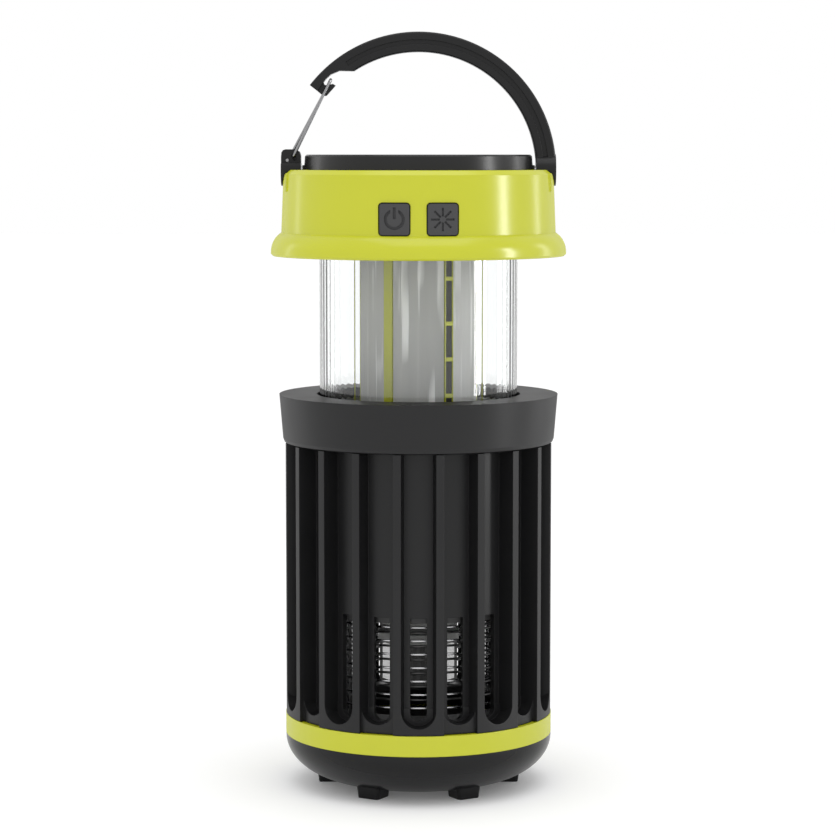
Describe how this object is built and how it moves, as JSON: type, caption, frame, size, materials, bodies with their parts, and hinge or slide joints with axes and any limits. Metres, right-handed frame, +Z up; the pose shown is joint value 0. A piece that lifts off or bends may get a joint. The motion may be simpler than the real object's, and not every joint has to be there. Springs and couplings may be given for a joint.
{
  "type": "collapsible lantern and insect zapper",
  "caption": "Telescoping battery lantern with a clear fluted lamp shade above a ribbed, slotted insect-zapping chamber, a hooked carrying handle and a twist-off base.",
  "frame": {"origin": "centre of the plane of the feet, on the body's axis", "axes": "+Z up along the body's axis; the keys face -Y; the handle stands in the XZ plane with its wire gate at -X"},
  "size_m": [0.0902, 0.0902, 0.2307],
  "materials": {
    "shell_yellow": "gloss",
    "body_black": "satin",
    "cap_black": "satin",
    "handle_black": "satin",
    "key_rubber": "matte",
    "clear_plastic": "clear",
    "steel": "drawn wire",
    "brass": "plain",
    "board": "solder mask",
    "led": "gloss",
    "solar_glass": "laminated",
    "diffuser_grey": "satin",
    "cell_wrap": "gloss",
    "seal_rubber": "matte",
    "inner_white": "satin",
    "dark_part": "satin"
  },
  "bodies": {
    "housing": {"grille_housing": "body_black", "collar": "body_black", "collar_seal": "seal_rubber", "chamber_ceiling": "dark_part", "contact_rods": "brass", "outer_grid": "steel", "inner_grid": "steel", "grid_holder_lower": "dark_part", "grid_holder_upper": "dark_part", "uv_tower": "inner_white", "uv_leds": "led", "hv_board": "board", "hv_transformer": "dark_part", "hv_capacitor": "cell_wrap"},
    "head": {"head_shell": "shell_yellow", "head_floor": "shell_yellow", "head_screws": "steel", "solar_bezel": "cap_black", "solar_panel": "solar_glass", "hinge_pin_right": "steel", "hinge_pin_left": "steel", "lamp_shade": "clear_plastic", "shade_floor": "dark_part", "lamp_core": "shell_yellow", "seam_inserts": "dark_part", "lamp_leds": "led", "contact_sockets": "brass", "battery_cells": "cell_wrap", "battery_cradle": "dark_part", "control_board": "board", "key_switches": "dark_part", "charge_board": "board", "usb_socket": "steel", "light_panel_1": "diffuser_grey", "light_panel_2": "diffuser_grey", "light_panel_3": "diffuser_grey", "light_panel_4": "diffuser_grey", "light_panel_5": "diffuser_grey", "light_panel_6": "diffuser_grey"},
    "handle": {"handle_arch": "handle_black"},
    "gate_block": {"gate_block": "handle_black"},
    "wire_gate": {"wire_gate": "steel"},
    "power_key": {"power_button": "key_rubber"},
    "lamp_key": {"lamp_button": "key_rubber"},
    "port_cover": {"port_cover": "key_rubber"},
    "base": {"base_cup": "body_black", "base_ring": "shell_yellow", "catch_tray": "dark_part"}
  },
  "joints": [
    {"name": "head_slide", "type": "slide", "parent": "housing", "child": "head", "axis": [0, 0, 1], "range_m": [-0.042, 0]},
    {"name": "handle_swing", "type": "hinge", "parent": "head", "child": "handle", "pos_m": [0.03885, 0, 0.1889], "axis": [1, 0, 0], "range_deg": [-65, 25]},
    {"name": "gate_block_swing", "type": "hinge", "parent": "head", "child": "gate_block", "pos_m": [-0.03885, 0, 0.1889], "axis": [1, 0, 0], "range_deg": [-65, 25]},
    {"name": "gate_open", "type": "hinge", "parent": "gate_block", "child": "wire_gate", "pos_m": [-0.0399, 0, 0.1919], "axis": [0, 1, 0], "range_deg": [0, 16], "stiffness_Nm_per_rad": 0.02, "springref_deg": -8.59},
    {"name": "power_press", "type": "slide", "parent": "head", "child": "power_key", "axis": [0, 1, 0], "range_m": [0, 0.0008], "stiffness_N_per_m": 800, "springref_m": -0.0008},
    {"name": "lamp_press", "type": "slide", "parent": "head", "child": "lamp_key", "axis": [0, 1, 0], "range_m": [0, 0.0008], "stiffness_N_per_m": 800, "springref_m": -0.0008},
    {"name": "port_cover_open", "type": "hinge", "parent": "head", "child": "port_cover", "pos_m": [0, 0.0426, 0.171], "axis": [-1, 0, 0], "range_deg": [0, 95]},
    {"name": "base_twist", "type": "hinge", "parent": "housing", "child": "base", "pos_m": [0, 0, 0.019], "axis": [0, 0, 1], "range_deg": [0, 25]}
  ],
  "couplings": [
    {"joint": "gate_block_swing", "follows": "handle_swing", "ratio": 1}
  ]
}
